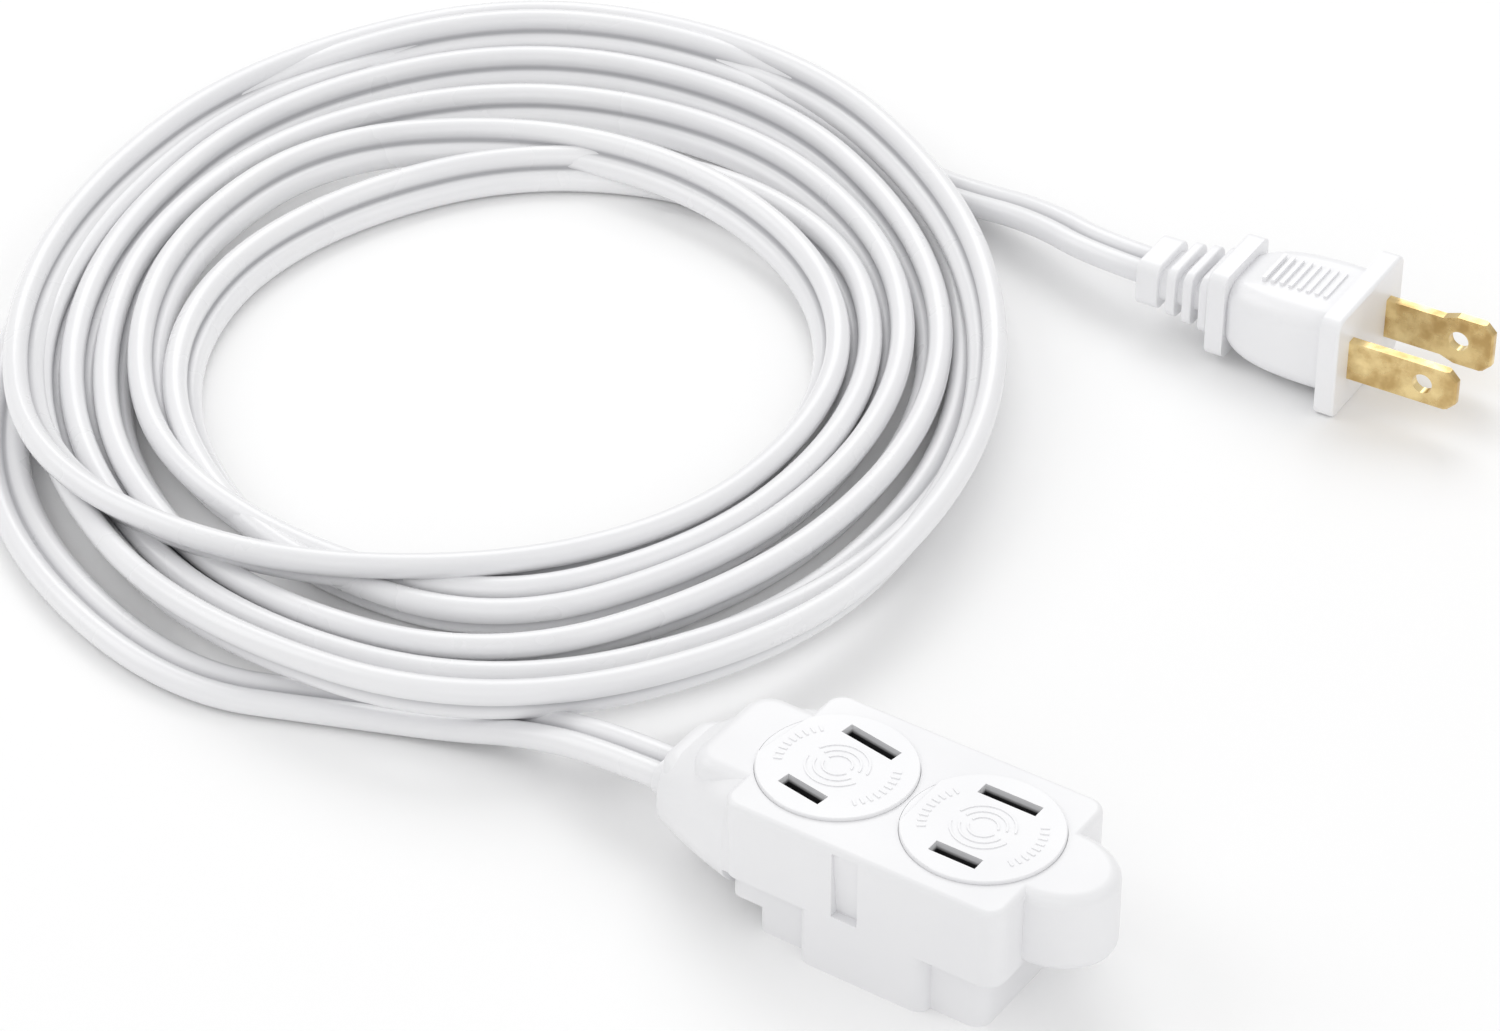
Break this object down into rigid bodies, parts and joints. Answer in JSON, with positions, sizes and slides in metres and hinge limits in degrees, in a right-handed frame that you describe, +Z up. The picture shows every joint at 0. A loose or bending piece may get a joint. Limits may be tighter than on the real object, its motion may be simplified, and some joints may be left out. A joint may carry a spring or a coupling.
{
  "type": "household extension cord",
  "caption": "Flat two-conductor indoor extension cord in a loose coil, with a polarised two-blade plug and an outlet tap whose covers twist shut.",
  "frame": {"origin": "centre of the tap's underside, on the surface it lies on", "axes": "+X along the tap, away from its cord; +Z up; the coil and the plug lie towards +Y"},
  "size_m": [0.2244, 0.1726, 0.021],
  "materials": {
    "white_plastic": "satin moulded, white",
    "cover_plastic": "satin moulded, white",
    "dark_plastic": "matte black moulding",
    "bridge_plastic": "matte white moulding",
    "spring_steel": "plain",
    "brass": "stamped",
    "blade_brass": "bright, brushed by handling",
    "wire_insulation": "vinyl",
    "plug_vinyl": "satin soft vinyl, white",
    "cord_vinyl": "glossy extruded vinyl, white"
  },
  "bodies": {
    "extension_cord": {"tap_housing": "white_plastic", "tap_base_plate": "white_plastic", "contact_carrier": "dark_plastic", "hot_bus": "brass", "neutral_bus": "brass", "tap_cord_clamp": "dark_plastic", "plug_bridge": "bridge_plastic", "tap_hot_wire": "wire_insulation", "tap_neutral_wire": "wire_insulation", "plug_hot_wire": "wire_insulation", "plug_neutral_wire": "wire_insulation", "tap_hot_crimp": "brass", "tap_neutral_crimp": "brass", "plug_hot_crimp": "brass", "plug_neutral_crimp": "brass", "hot_blade": "blade_brass", "neutral_blade": "blade_brass", "plug_body": "plug_vinyl", "plug_strain_relief": "plug_vinyl", "cord_to_tap": "cord_vinyl", "cord_to_plug": "cord_vinyl", "cord_coil": "cord_vinyl", "hot_contact_1": "brass", "hot_contact_2": "brass", "hot_contact_3": "brass", "neutral_contact_1": "brass", "neutral_contact_2": "brass", "neutral_contact_3": "brass"},
    "cover_1": {"outlet_cover_1": "cover_plastic", "cover_ring_1": "spring_steel"},
    "cover_2": {"outlet_cover_2": "cover_plastic", "cover_ring_2": "spring_steel"},
    "cover_3": {"outlet_cover_3": "cover_plastic", "cover_ring_3": "spring_steel"}
  },
  "joints": [
    {"name": "cover_1_turn", "type": "hinge", "parent": "extension_cord", "child": "cover_1", "pos_m": [-0.0073, 0, 0.0205], "axis": [0, 0, 1], "range_deg": [-81, 9]},
    {"name": "cover_2_turn", "type": "hinge", "parent": "extension_cord", "child": "cover_2", "pos_m": [0.0141, 0, 0.0205], "axis": [0, 0, 1], "range_deg": [-90, 0]},
    {"name": "cover_3_turn", "type": "hinge", "parent": "extension_cord", "child": "cover_3", "pos_m": [0.004, 0, 0.0008], "axis": [0, 0, 1], "range_deg": [0, 90]}
  ]
}
